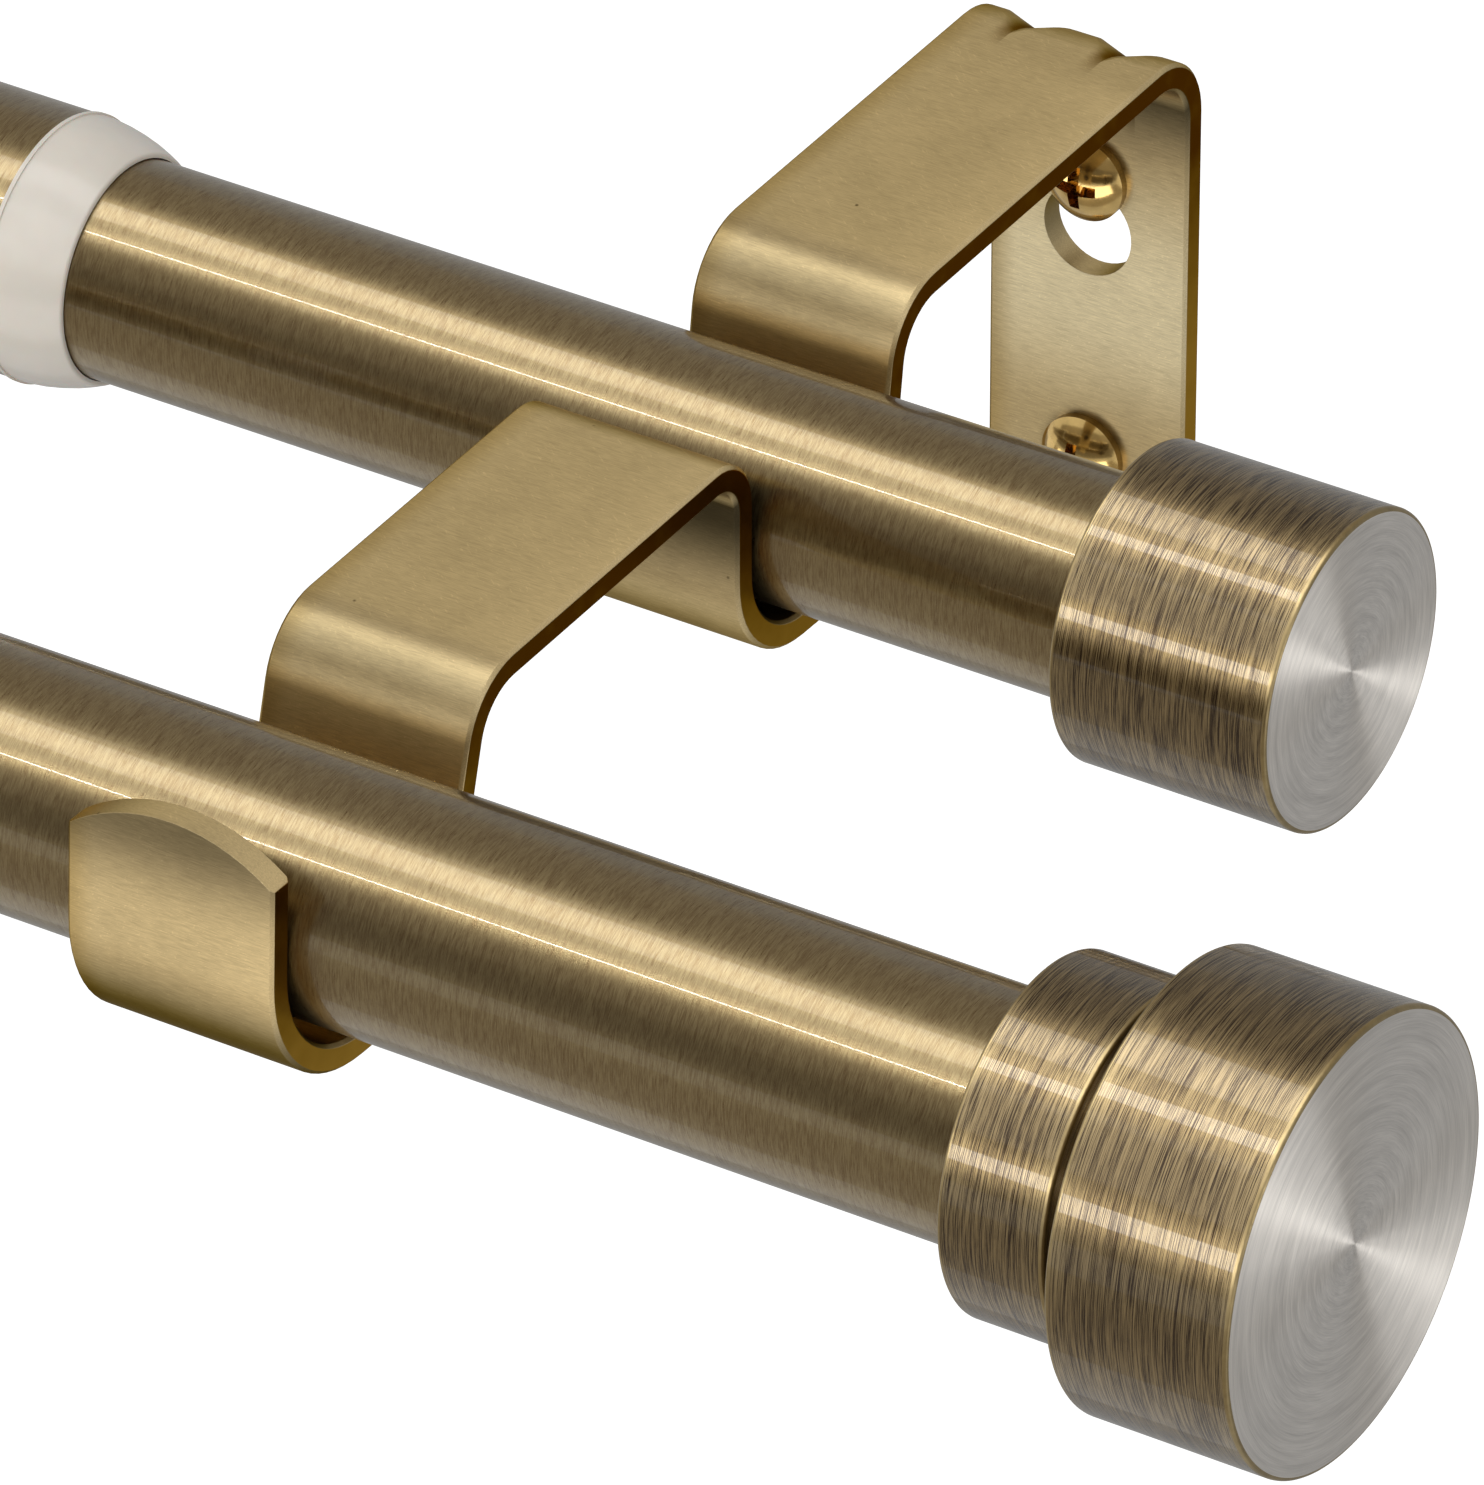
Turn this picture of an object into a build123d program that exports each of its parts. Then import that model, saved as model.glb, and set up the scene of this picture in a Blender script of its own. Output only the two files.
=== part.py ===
from build123d import *
import math
import os

# Double curtain pole, in millimetres.
# X runs along the rods to the right, Y points at the wall, Z is up.
# The wall is the plane Y = 0 and the origin is the centre of the four wall screws.

# Rods: each is an inner tube that slides in a larger outer tube
front_slide_radius = 12.7
rear_slide_radius = 11.53
tube_step = 2.49
tube_wall = 0.8
running_gap = 0.3
seat_gap = 0.1

# Where the rods lie from the wall and from the middle of the wall screws
rear_rod_reach = 73.1
rod_spacing = 80.2
front_rod_height = 14.7
rear_rod_rise = 3.5

# Places along the rods, from the middle plane of a bracket
bracket_spacing = 560.0
front_finial_standoff = 86.0
rear_cap_standoff = 48.0
collar_standoff = 70.0
closed_gap = 3.0

# Bent strip of the brackets
strip_width = 23.4
strip_thickness = 3.0
edge_break = 0.4
arm_slope = 0.036
front_arm_height = 11.8
rear_arm_height = 12.8
tab_corner_height = 9.1
end_crown = 4.0
tab_lean = 0.045
tab_gap = 0.35
front_floor_gap = 1.35
front_back_gap = 2.77
front_back_lean = 0.27
rear_floor_gap = 0.27
rear_lip_gap = 0.27
rear_back_gap = 0.6
rear_back_lean = 0.14
arm_bend = 7.3
lip_bend = 5.0
wall_bend = 6.8
front_cradle_bend = 13.6
rear_cradle_bend = 10.55
back_bend_share = 0.9
plate_end_margin = 12.4

# Two creases pressed into the bend at the wall to stiffen it
crease_offset = 5.4
crease_depth = 1.2
crease_spread = 3.3
crease_radius = 11.35
crease_reach = 8.0

# Wall screws and the holes for them
wall_screw_spacing = 32.8
wall_screw_radius = 2.4
wall_screw_length = 16.0
wall_screw_tip = 4.5
wall_screw_neck = 2.1
screw_head_radius = 4.6
screw_head_height = 3.1
screw_head_rim = 0.9
hole_gap = 0.2
key_hole_radius = 5.15
key_hole_drop = 6.25
recess_span = 5.0
recess_width = 1.35
recess_depth = 1.9
recess_taper = 12.0

# Screws that clamp the rods in the hooks
clamp_screw_radius = 2.5
clamp_screw_shift = 1.4
clamp_tip_gap = 0.15
clamp_tip_chamfer = 0.6
clamp_tail = 5.0
clamp_head_radius = 4.2
clamp_head_height = 3.2
clamp_slot_width = 1.0
clamp_slot_depth = 1.4

# Plastic collar at the mouth of each outer tube
collar_nose = 8.3
collar_rim = 0.45
collar_rim_step = 0.2
collar_lip_depth = 0.55
collar_lip_width = 0.92
collar_sleeve = 30.0
collar_draft = 0.06

# Turned end pieces
cap_wall = 2.45
cap_length = 24.3
cap_socket = 18.0
neck_wall = 2.81
neck_length = 11.5
neck_chamfer = 0.4
head_step = 4.88
head_length = 19.4
groove_width = 3.0
groove_depth = 2.2
groove_floor = 1.5
rim_chamfer = 0.6
grub_radius = 2.0
grub_sink = 0.3
grub_slot_width = 0.7
grub_slot_depth = 0.8

# Guide plug in the hidden end of each inner tube
guide_ring = 14.0
guide_spigot = 12.0
guide_wall = 1.6

rod_reach = rear_rod_reach + rod_spacing
rear_rod_height = front_rod_height + rear_rod_rise
half_spacing = bracket_spacing / 2
half_strip = strip_thickness / 2
front_outer_radius = front_slide_radius + tube_step
rear_outer_radius = rear_slide_radius + tube_step
front_axis = (-rod_reach, front_rod_height)
rear_axis = (-rear_rod_reach, rear_rod_height)
cap_radius = rear_outer_radius + cap_wall
neck_radius = front_outer_radius + neck_wall
head_radius = neck_radius + head_step
front_socket = neck_length - groove_floor
along_y = (90, 0, 0)


def put(name, *solids):
    """Write one sub-part, which may be a group of like solids."""
    shape = solids[0] if len(solids) == 1 else Compound(children=list(solids))
    shape.label = name
    export_step(shape, f"parts/{name}.step")


def meet(first, second):
    """Where two lines in Y and Z cross, each given by a point and a direction."""
    (y1, z1), (a1, b1) = first
    (y2, z2), (a2, b2) = second
    run = ((y2 - y1) * b2 - (z2 - z1) * a2) / (a1 * b2 - b1 * a2)
    return (y1 + run * a1, z1 + run * b1)


def strip_route(front_radius, rear_radius):
    """Corners of the strip's middle line in Y and Z, and the bend radius at each inner corner."""
    front_y, front_z = front_axis
    rear_y, rear_z = rear_axis
    level, upright, arm = (1.0, 0.0), (0.0, 1.0), (1.0, arm_slope)
    tab = ((front_y - front_radius - tab_gap - half_strip, front_z), (tab_lean, 1.0))
    front_floor = ((front_y, front_z - front_radius - front_floor_gap - half_strip), level)
    front_back = ((front_y + front_radius + front_back_gap + half_strip, front_z), (front_back_lean, 1.0))
    front_arm = ((front_y, front_z + front_arm_height), arm)
    rear_lip = ((rear_y - rear_radius - rear_lip_gap - half_strip, rear_z), upright)
    rear_floor = ((rear_y, rear_z - rear_radius - rear_floor_gap - half_strip), level)
    rear_back = ((rear_y + rear_radius + rear_back_gap + half_strip, rear_z), (rear_back_lean, 1.0))
    rear_arm = ((rear_y, rear_z + rear_arm_height), arm)
    plate = ((-half_strip, 0.0), upright)
    tab_top = ((0.0, front_z + tab_corner_height + 2 * end_crown), level)
    plate_end = ((0.0, -wall_screw_spacing / 2 - plate_end_margin - 2 * end_crown), level)
    lines = [tab_top, tab, front_floor, front_back, front_arm, rear_lip, rear_floor, rear_back, rear_arm,
             plate, plate_end]
    corners = [meet(lines[k], lines[k + 1]) for k in range(len(lines) - 1)]
    front_cradle = front_cradle_bend + front_radius - front_slide_radius
    rear_cradle = rear_cradle_bend + rear_radius - rear_slide_radius
    bends = [front_cradle, back_bend_share * front_cradle, arm_bend, lip_bend,
             rear_cradle, back_bend_share * rear_cradle, arm_bend, wall_bend]
    return corners, bends


def bent_strip(corners, bends):
    """The strip bent along its route, with its long edges broken."""
    middle = FilletPolyline(*corners, radius=bends)
    band = make_face(offset(middle, half_strip, side=Side.BOTH, kind=Kind.TANGENT).edges())
    strip = extrude(Plane.YZ * band, strip_width / 2, both=True)
    return chamfer(strip.faces().filter_by(Axis.X).edges(), edge_break)


def end_trim(y, corner_z, up):
    """What is taken off a square end of the strip to leave it arched; up is 1 or -1."""
    half_width = strip_width / 2
    arch_radius = (half_width**2 + end_crown**2) / (2 * end_crown)
    tall = 6 * end_crown
    deep = 4 * strip_thickness
    block = Pos(0, y, corner_z + up * tall / 2) * Box(2 * strip_width, deep, tall)
    arch = Pos(0, y, corner_z + up * (end_crown - arch_radius)) * Rotation(*along_y) * Cylinder(arch_radius, deep)
    return block - arch


def crease_frame(corners):
    """A plane across the crest of the wall bend: its Y runs into the bend and its Z along the creases."""
    (arm_y, arm_z), (bend_y, bend_z), (end_y, end_z) = corners[7:10]
    bend = Vector(0, bend_y, bend_z)
    inward = (Vector(0, arm_y, arm_z) - bend).normalized() + (Vector(0, end_y, end_z) - bend).normalized()
    half_angle = (Vector(0, arm_y, arm_z) - bend).get_angle(Vector(0, end_y, end_z) - bend) / 2
    inward = inward.normalized()
    centre = bend + inward * (wall_bend / math.sin(math.radians(half_angle)))
    apex = centre - inward * (wall_bend + half_strip)
    return Plane(origin=apex, x_dir=(1, 0, 0), z_dir=Vector(1, 0, 0).cross(inward))


def crease(frame, x):
    """What one crease takes out of the wall bend: a V along an arc that fades out on the arm and the plate."""
    half_width = 2 * crease_depth * crease_spread
    with BuildSketch(frame) as sketch:
        with BuildLine():
            Polyline((x, crease_depth), (x + half_width, -crease_depth), (x - half_width, -crease_depth), close=True)
        make_face()
    centre = frame.from_local_coords(Vector(0, crease_depth + crease_radius, 0))
    ring = revolve(sketch.sketch, Axis(centre, frame.x_dir), 360)
    return ring & frame.location * Box(2 * strip_width, 2 * crease_radius, 2 * crease_reach)


def bracket(front_radius, rear_radius):
    """One bracket bent from a single strip, for rods of these outside radii."""
    corners, bends = strip_route(front_radius, rear_radius)
    frame = crease_frame(corners)
    body = bent_strip(corners, bends)
    for x in (-crease_offset, crease_offset):
        body -= crease(frame, x)
    body -= end_trim(corners[0][0], front_rod_height + tab_corner_height, 1)
    body -= end_trim(-half_strip, -wall_screw_spacing / 2 - plate_end_margin, -1)
    deep = 4 * strip_thickness
    hole = wall_screw_radius + hole_gap
    high, low = wall_screw_spacing / 2, -wall_screw_spacing / 2
    for z, radius in ((high, hole), (low, hole), (high - key_hole_drop, key_hole_radius)):
        body -= Pos(0, 0, z) * Rotation(*along_y) * Cylinder(radius, deep)
    body -= Pos(0, 0, high - key_hole_drop / 2) * Box(2 * hole, deep, key_hole_drop)
    for (y, z), radius, gap in (
        (front_axis, front_radius, front_back_gap),
        (rear_axis, rear_radius, rear_back_gap),
    ):
        tap = Rotation(*along_y) * Cylinder(clamp_screw_radius + seat_gap, deep)
        body -= Pos(clamp_screw_shift, y + radius + gap + half_strip, z) * tap
    return body


def wall_screw():
    """A pan-head screw, head towards +Z and bearing face at Z = 0, with a plain neck through the plate."""
    crown = screw_head_height - screw_head_rim
    dome_radius = (screw_head_radius**2 + crown**2) / (2 * crown)
    with BuildPart() as screw:
        with BuildSketch(Plane.XZ):
            with BuildLine():
                rim = (screw_head_radius, screw_head_rim)
                Polyline((0, screw_head_height), (0, -wall_screw_length),
                         (wall_screw_radius, wall_screw_tip - wall_screw_length),
                         (wall_screw_radius, -strip_thickness), (wall_screw_neck, -strip_thickness),
                         (wall_screw_neck, 0), (screw_head_radius, 0), rim)
                RadiusArc(rim, (0, screw_head_height), -dome_radius)
            make_face()
        revolve(axis=Axis.Z)
        with BuildSketch(Plane.XY.offset(screw_head_height)):
            Rectangle(recess_span, recess_width)
            Rectangle(recess_width, recess_span)
        extrude(amount=-recess_depth, taper=recess_taper, mode=Mode.SUBTRACT)
    return screw.part


def wall_screws():
    """The two screws through one wall plate."""
    heights = (wall_screw_spacing / 2, -wall_screw_spacing / 2)
    return [Pos(0, -strip_thickness, z) * Rotation(*along_y) * wall_screw() for z in heights]


def clamp_screw(back_gap):
    """A slotted cheese-head screw with its tip at Z = 0 and its head towards +Z."""
    length = back_gap + strip_thickness + clamp_tail
    head = Cylinder(clamp_head_radius, clamp_head_height, align=(Align.CENTER, Align.CENTER, Align.MIN))
    shank = Cylinder(clamp_screw_radius, length, align=(Align.CENTER, Align.CENTER, Align.MIN))
    shank = chamfer(shank.edges().sort_by(Axis.Z)[0], clamp_tip_chamfer)
    slot = Box(3 * clamp_head_radius, clamp_slot_width, 2 * clamp_slot_depth)
    return shank + Pos(0, 0, length) * head - Pos(0, 0, length + clamp_head_height) * slot


def clamp_screws(front_radius, rear_radius):
    """The screws that hold both rods in one bracket's hooks."""
    screws = []
    for (y, z), radius, gap in (
        (front_axis, front_radius, front_back_gap),
        (rear_axis, rear_radius, rear_back_gap),
    ):
        tip = Pos(clamp_screw_shift, y + radius + clamp_tip_gap, z)
        screws.append(tip * Rotation(-90, 0, 0) * clamp_screw(gap))
    return screws


def bar(x_from, x_to, radius):
    """A round bar along the X axis."""
    return Pos((x_from + x_to) / 2, 0, 0) * Rotation(0, 90, 0) * Cylinder(radius, x_to - x_from)


def tube(x_from, x_to, radius):
    """A drawn tube along the X axis."""
    return bar(x_from, x_to, radius) - bar(x_from, x_to, radius - tube_wall)


def collar(slide_radius):
    """The plastic collar, with the outer tube's mouth at X = 0 and its domed nose towards +X."""
    outer = slide_radius + tube_step
    bore = slide_radius + running_gap
    sleeve = outer - tube_wall - seat_gap
    rim = outer + collar_rim_step
    lip = slide_radius + collar_lip_width
    with BuildPart() as part:
        with BuildSketch(Plane.XZ):
            with BuildLine():
                Polyline((collar_nose, lip), (collar_nose - collar_lip_depth, bore), (-collar_sleeve, bore),
                         (-collar_sleeve, sleeve), (0, sleeve), (0, rim), (collar_rim, rim),
                         (collar_rim, outer))
                TangentArc((collar_rim, outer), (collar_nose, lip), tangent=(1, -collar_draft))
            make_face()
        revolve(axis=Axis.X)
    return part.part


def guide_plug(slide_radius):
    """The plug in an inner tube's hidden end, the tube's end face at X = 0 and the ring towards -X."""
    ring = slide_radius + tube_step - tube_wall - running_gap
    spigot = slide_radius - tube_wall - seat_gap
    solid = bar(-guide_ring, 0, ring) + bar(0, guide_spigot, spigot)
    return solid - bar(-guide_ring, guide_spigot, spigot - guide_wall)


def turned_bar(x_from, x_to, radius, back_chamfer=rim_chamfer, face_chamfer=rim_chamfer):
    """A turned bar with both rims broken."""
    blank = bar(x_from, x_to, radius)
    blank = chamfer(blank.faces().sort_by(Axis.X)[0].edges(), back_chamfer)
    return chamfer(blank.faces().sort_by(Axis.X)[-1].edges(), face_chamfer)


def end_piece(blank, shell_radius, tube_radius, socket):
    """A turned end piece bored for its tube and tapped underneath for its grub screw."""
    tap = Cylinder(grub_radius + seat_gap, shell_radius, align=(Align.CENTER, Align.CENTER, Align.MAX))
    return blank - bar(0, socket, tube_radius + seat_gap) - Pos(socket / 2, 0, 0) * tap


def cap(tube_radius):
    """The plain cap of the rear rod, its open end at X = 0 and its face towards +X."""
    return end_piece(turned_bar(0, cap_length, cap_radius), cap_radius, tube_radius, cap_socket)


def finial(tube_radius):
    """The stepped finial of the front rod: a neck, a groove and a larger head."""
    neck = turned_bar(0, neck_length, neck_radius, face_chamfer=neck_chamfer)
    head_start = neck_length + groove_width
    waist = bar(neck_length / 2, head_start + head_length / 2, neck_radius - groove_depth)
    head = turned_bar(head_start, head_start + head_length, head_radius)
    return end_piece(neck + waist + head, neck_radius, tube_radius, front_socket)


def grub_screw(shell_radius, tube_radius, socket):
    """The grub screw under an end piece, from just off the tube to just inside the shell."""
    top = -(tube_radius + clamp_tip_gap)
    length = shell_radius - grub_sink + top
    screw = Cylinder(grub_radius, length, align=(Align.CENTER, Align.CENTER, Align.MAX))
    slot = Box(3 * grub_radius, grub_slot_width, 2 * grub_slot_depth)
    return Pos(socket / 2, 0, 0) * (Pos(0, 0, top) * screw - Pos(0, 0, top - length) * slot)


def on_rod(axis, x, side=1):
    """Move a piece onto a rod's axis, turned end for end when side is -1."""
    y, z = axis
    return Pos(x, y, z) * Rotation(0, 0, 0 if side > 0 else 180)


os.makedirs("parts", exist_ok=True)

# Brackets: the right one holds the inner tubes, the left one the outer tubes
for name, side, radii in (
    ("right", 1, (front_slide_radius, rear_slide_radius)),
    ("left", -1, (front_outer_radius, rear_outer_radius)),
):
    spot = Pos(side * half_spacing, 0, 0)
    put(f"{name}_bracket", spot * bracket(*radii))
    put(f"{name}_wall_screws", *[spot * screw for screw in wall_screws()])
    put(f"{name}_clamp_screws", *[spot * screw for screw in clamp_screws(*radii)])

# Rods, their collars, plugs and end pieces
for name, axis, slide_radius, standoff, socket, shell_radius, make_end in (
    ("front", front_axis, front_slide_radius, front_finial_standoff, front_socket, neck_radius, finial),
    ("rear", rear_axis, rear_slide_radius, rear_cap_standoff, cap_socket, cap_radius, cap),
):
    outer_radius = slide_radius + tube_step
    end = half_spacing + standoff
    mouth = half_spacing - collar_standoff - collar_nose
    tube_end = end + socket
    closing_travel = standoff - strip_width / 2 - closed_gap
    hidden_end = guide_ring + closing_travel + closed_gap - tube_end
    put(f"{name}_outer_tube", on_rod(axis, 0) * tube(-tube_end, mouth, outer_radius))
    put(f"{name}_inner_tube", on_rod(axis, 0) * tube(hidden_end, tube_end, slide_radius))
    put(f"{name}_collar", on_rod(axis, mouth) * collar(slide_radius))
    put(f"{name}_guide_plug", on_rod(axis, hidden_end) * guide_plug(slide_radius))
    for side_name, side, radius in (("right", 1, slide_radius), ("left", -1, outer_radius)):
        place = on_rod(axis, side * end, side)
        part_name = "finial" if name == "front" else "cap"
        put(f"{name}_{side_name}_{part_name}", place * make_end(radius))
        put(f"{name}_{side_name}_grub_screw", place * grub_screw(shell_radius, radius, socket))
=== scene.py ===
"""The looks of a double curtain pole in brushed antique brass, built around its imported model."""
import math

import bmesh
import bpy
from bpy.props import FloatProperty, FloatVectorProperty, IntProperty, PointerProperty
from mathutils import Matrix, Vector


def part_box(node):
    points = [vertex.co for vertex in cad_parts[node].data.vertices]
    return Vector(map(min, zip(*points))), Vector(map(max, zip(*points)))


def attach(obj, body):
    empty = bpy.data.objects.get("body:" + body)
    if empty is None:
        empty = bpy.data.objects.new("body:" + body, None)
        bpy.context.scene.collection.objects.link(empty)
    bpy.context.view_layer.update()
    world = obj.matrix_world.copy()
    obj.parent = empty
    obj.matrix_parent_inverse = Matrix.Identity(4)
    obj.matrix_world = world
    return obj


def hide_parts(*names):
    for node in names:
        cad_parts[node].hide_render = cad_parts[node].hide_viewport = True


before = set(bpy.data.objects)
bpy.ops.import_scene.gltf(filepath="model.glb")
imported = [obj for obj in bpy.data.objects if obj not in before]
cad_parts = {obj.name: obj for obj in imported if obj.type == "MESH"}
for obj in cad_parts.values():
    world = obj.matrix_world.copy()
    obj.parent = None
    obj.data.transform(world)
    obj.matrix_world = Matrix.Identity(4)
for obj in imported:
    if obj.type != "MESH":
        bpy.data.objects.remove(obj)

bl_info = {
    "name": "Double curtain pole",
    "version": (1, 0, 0),
    "blender": (4, 5, 0),
    "location": "View3D > Sidebar > Curtain pole",
    "description": "Dresses the double curtain pole in brushed antique brass and sets its studio",
    "category": "Object",
}

MM = 0.001
SIDES = (("right", 1), ("left", -1))
RODS = ("front", "rear")
AROUND = (1.0, 0.0, 0.0)

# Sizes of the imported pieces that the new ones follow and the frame's boxes don't show
TUBE_WALL = 0.8 * MM
SEAT_GAP = 0.1 * MM
CAP_SOCKET = 18.0 * MM
NECK_LENGTH = 11.5 * MM
GROOVE_WIDTH = 3.0 * MM
GROOVE_DEPTH = 2.2 * MM
HEAD_STEP = 4.88 * MM
FINIAL_SOCKET = 10.0 * MM
CREASE_OFFSET = 5.4 * MM

# How far a tap's cutter reaches past the wall, and how the tab and the sheared sides are told apart
TAP_MARGIN = 2.0 * MM
TAB_DEPTH = 4 * MM
SIDE_OFFSET = 9 * MM

# The collars: gaps to the tubes, and the swell of the nose
COLLAR_SLEEVE_GAP = 0.05 * MM
COLLAR_BORE_GAP = 0.12 * MM
COLLAR_LIP = 0.6 * MM
COLLAR_LIP_ROUND = 0.25 * MM
COLLAR_RIM = 0.45 * MM
COLLAR_SWELL = 4.4 * MM
COLLAR_SWELL_DROP = 0.235 * MM
COLLAR_SWELL_ROUND = 3.0 * MM

# Angles between faces: shaded as a sharp edge, softened on a bracket, and flat enough to be one face
SHARP = math.radians(38)
PRESSED_EDGE = math.radians(32)
FLAT = math.radians(0.5)

# The plating's patterns: length and width of the grain and of the hair scratches, size of its clouds, and
# spacing of its pits
GRAIN = (1.6 * MM, 0.11 * MM)
SCRATCH = (22 * MM, 0.22 * MM)
CLOUD_SIZE = 7 * MM
PIT_SPACING = 8 * MM

# Where the painted light and shade on the brackets change, along Y and Z; a riser's painted highlight has its
# place, its top and its gain
PLATE_GLOW_HEIGHT = 4 * MM
REAR_LIP = -90 * MM
FRONT_ARM_UNDERSIDE = (-60 * MM, 23 * MM)
REAR_ARM_UNDERSIDE = (-20 * MM, 30 * MM)
HOOK_FLOOR = 4 * MM
HOOK_SIDE = 13 * MM
RISER_HIGHLIGHTS = ((-136 * MM, 23 * MM, 1.1), (-58 * MM, 27 * MM, 0.6))

# The radius on which a streak is as long as its size says
STREAK_RADIUS = 17 * MM

# The studio, in metres and degrees: lamps and cards stand in circles around a line along X between the
# rods. Each rod's lamps are turned from the other's, and a lamp set aside aims at this share of the way
STUDIO_AXIS = Vector((0.0, -0.113, 0.016))
LAMP_DISTANCE = 1.6
LAMP_LENGTH = 4.0
CARD_DISTANCE = 1.9
ROD_SHIFT = 3.7
ASIDE_AIM = 0.125
WARM = (1.0, 0.91, 0.78)
WHITE = (1.0, 1.0, 1.0, 1.0)

# The photo's camera, fitted to the edges of both rods: its focal length in pixels of the photo's width
PHOTO_WIDTH = 1484
FOCAL_PIXELS = 15638.2
SENSOR_WIDTH = 36.0
CAMERA_PLACE = (0.9866, -1.1831, 0.8136)
CAMERA_RIGHT = Vector((0.84455, 0.53548, 0.0))
CAMERA_UP = Vector((-0.28516, 0.44974, 0.84641))
CAMERA_BACK = Vector((0.45323, -0.71484, 0.53252))


def linear(code):
    """An sRGB hex colour as a linear one."""
    parts = [int(code[k:k + 2], 16) / 255 for k in (1, 3, 5)]
    return tuple(p / 12.92 if p <= 0.04045 else ((p + 0.055) / 1.055) ** 2.4 for p in parts)


def add(tree, kind, links=None, **settings):
    """A shader node with its settings, and values or sources for its sockets."""
    node = tree.nodes.new(kind)
    for key, value in settings.items():
        setattr(node, key, value)
    for socket, value in (links or {}).items():
        if isinstance(value, bpy.types.NodeSocket):
            tree.links.new(value, node.inputs[socket])
        else:
            node.inputs[socket].default_value = value
    return node


def rgba(colour):
    """A colour property as a socket takes it."""
    return (*colour, 1.0)


class PoleSizes(bpy.types.PropertyGroup):
    """Sizes of the pole's looks. The streaks and lines are about as wide as a pixel of the photo, which is
    coarser than real brushing."""

    rim_round: FloatProperty(
        name="Rim round", description="Radius of the turned rims", default=0.45 * MM, unit="LENGTH")
    neck_round: FloatProperty(
        name="Neck round", description="Radius of the neck's rim beside the groove", default=0.5 * MM,
        unit="LENGTH")
    tube_round: FloatProperty(
        name="Tube edge round", description="Radius of the tubes' cut edges", default=0.15 * MM,
        unit="LENGTH")
    strip_round: FloatProperty(
        name="Strip edge round", description="Width of the softened edges of the brackets", default=0.14 * MM,
        unit="LENGTH")
    tap_radius: FloatProperty(
        name="Tap radius", description="Radius of the tapped hole of a grub screw", default=2.1 * MM,
        unit="LENGTH")
    turning_steps: IntProperty(name="Turning steps", description="Faces around a turned piece", default=192)
    streak_width: FloatProperty(
        name="Streak width", description="Width of a brushed streak on the tubes", default=0.1 * MM,
        unit="LENGTH")
    streak_length: FloatProperty(
        name="Streak length", description="Length of a brushed streak on the tubes", default=2.2 * MM,
        unit="LENGTH")
    line_width: FloatProperty(
        name="Line width", description="Width of a turning line on the end pieces", default=0.08 * MM,
        unit="LENGTH")
    line_length: FloatProperty(
        name="Line length", description="Length of a turning line on the end pieces", default=5.0 * MM,
        unit="LENGTH")


class PoleColours(bpy.types.PropertyGroup):
    """Colours of the pole's finishes, and of the light and shade painted on the brackets."""

    brass: FloatVectorProperty(
        name="Brass", description="Antique brass of the tubes", size=3, subtype="COLOR",
        default=linear("#94845f"))
    brass_dark: FloatVectorProperty(
        name="Dark brass", description="Antiquing left in the streaks", size=3, subtype="COLOR",
        default=linear("#7a6748"))
    turned: FloatVectorProperty(
        name="Turned brass", description="Antique brass of the end pieces", size=3, subtype="COLOR",
        default=linear("#8f7c58"))
    turned_dark: FloatVectorProperty(
        name="Dark turned brass", description="Antiquing of the end pieces", size=3, subtype="COLOR",
        default=linear("#392d22"))
    worn: FloatVectorProperty(
        name="Worn brass", description="Bare brass at the rims", size=3, subtype="COLOR",
        default=linear("#9c8a64"))
    face: FloatVectorProperty(
        name="Faced metal", description="End faces", size=3, subtype="COLOR", default=linear("#e4dfd8"))
    plating: FloatVectorProperty(
        name="Satin plating", description="Brackets", size=3, subtype="COLOR", default=linear("#baa77e"))
    # Painted shade: the browner colour painted along the brackets' left edges
    plating_shaded_edge: FloatVectorProperty(
        name="Plating at the edges", description="Brackets near their left edges", size=3, subtype="COLOR",
        default=linear("#9b824b"))
    # A painted highlight: the pale glow painted on the middle of the wall plates
    plating_glow: FloatVectorProperty(
        name="Pale plating", description="Middle of the wall plates", size=3, subtype="COLOR",
        default=linear("#e2d6b2"))
    # Painted shade: the dark brown painted on the brackets' sides high up and in the creases
    cut_shaded: FloatVectorProperty(
        name="Dark cut edge", description="Sides of the brackets, above, and the creases", size=3,
        subtype="COLOR", default=linear("#63481d"))
    # A painted highlight: the gold painted on the brackets' sides low down
    cut_lit: FloatVectorProperty(
        name="Light cut edge", description="Sides of the brackets, low down", size=3, subtype="COLOR",
        default=linear("#b8944e"))
    ivory: FloatVectorProperty(
        name="Ivory", description="Plastic collars", size=3, subtype="COLOR", default=linear("#d8d1c6"))
    screw: FloatVectorProperty(
        name="Screw brass", description="Wall screws", size=3, subtype="COLOR", default=linear("#c2a468"))
    steel: FloatVectorProperty(
        name="Dark steel", description="Clamp and grub screws", size=3, subtype="COLOR",
        default=linear("#5b5148"))


def rod(node):
    """A round node's axis as a point, its radius, and its two ends along X."""
    low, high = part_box(node)
    return (low + high) / 2, (high.z - low.z) / 2, low.x, high.x


def dress(node, made):
    """Gives a CAD node its material."""
    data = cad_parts[node].data
    data.materials.clear()
    data.materials.append(made)


def finish_mesh(name, bm, materials, body, node):
    """Makes a piece of a bmesh, with clean normals, that rides on its body in place of its node."""
    for face in bm.faces:
        face.smooth = True
    for edge in bm.edges:
        edge.smooth = not (edge.is_manifold and edge.calc_face_angle() > SHARP)
    mesh = bpy.data.meshes.new(name)
    bm.to_mesh(mesh)
    bm.free()
    piece = bpy.data.objects.new(name, mesh)
    bpy.context.scene.collection.objects.link(piece)
    for made in materials:
        mesh.materials.append(made)
    weigh = piece.modifiers.new("Even shading", "WEIGHTED_NORMAL")
    weigh.keep_sharp = True
    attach(piece, body)
    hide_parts(node)


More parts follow.
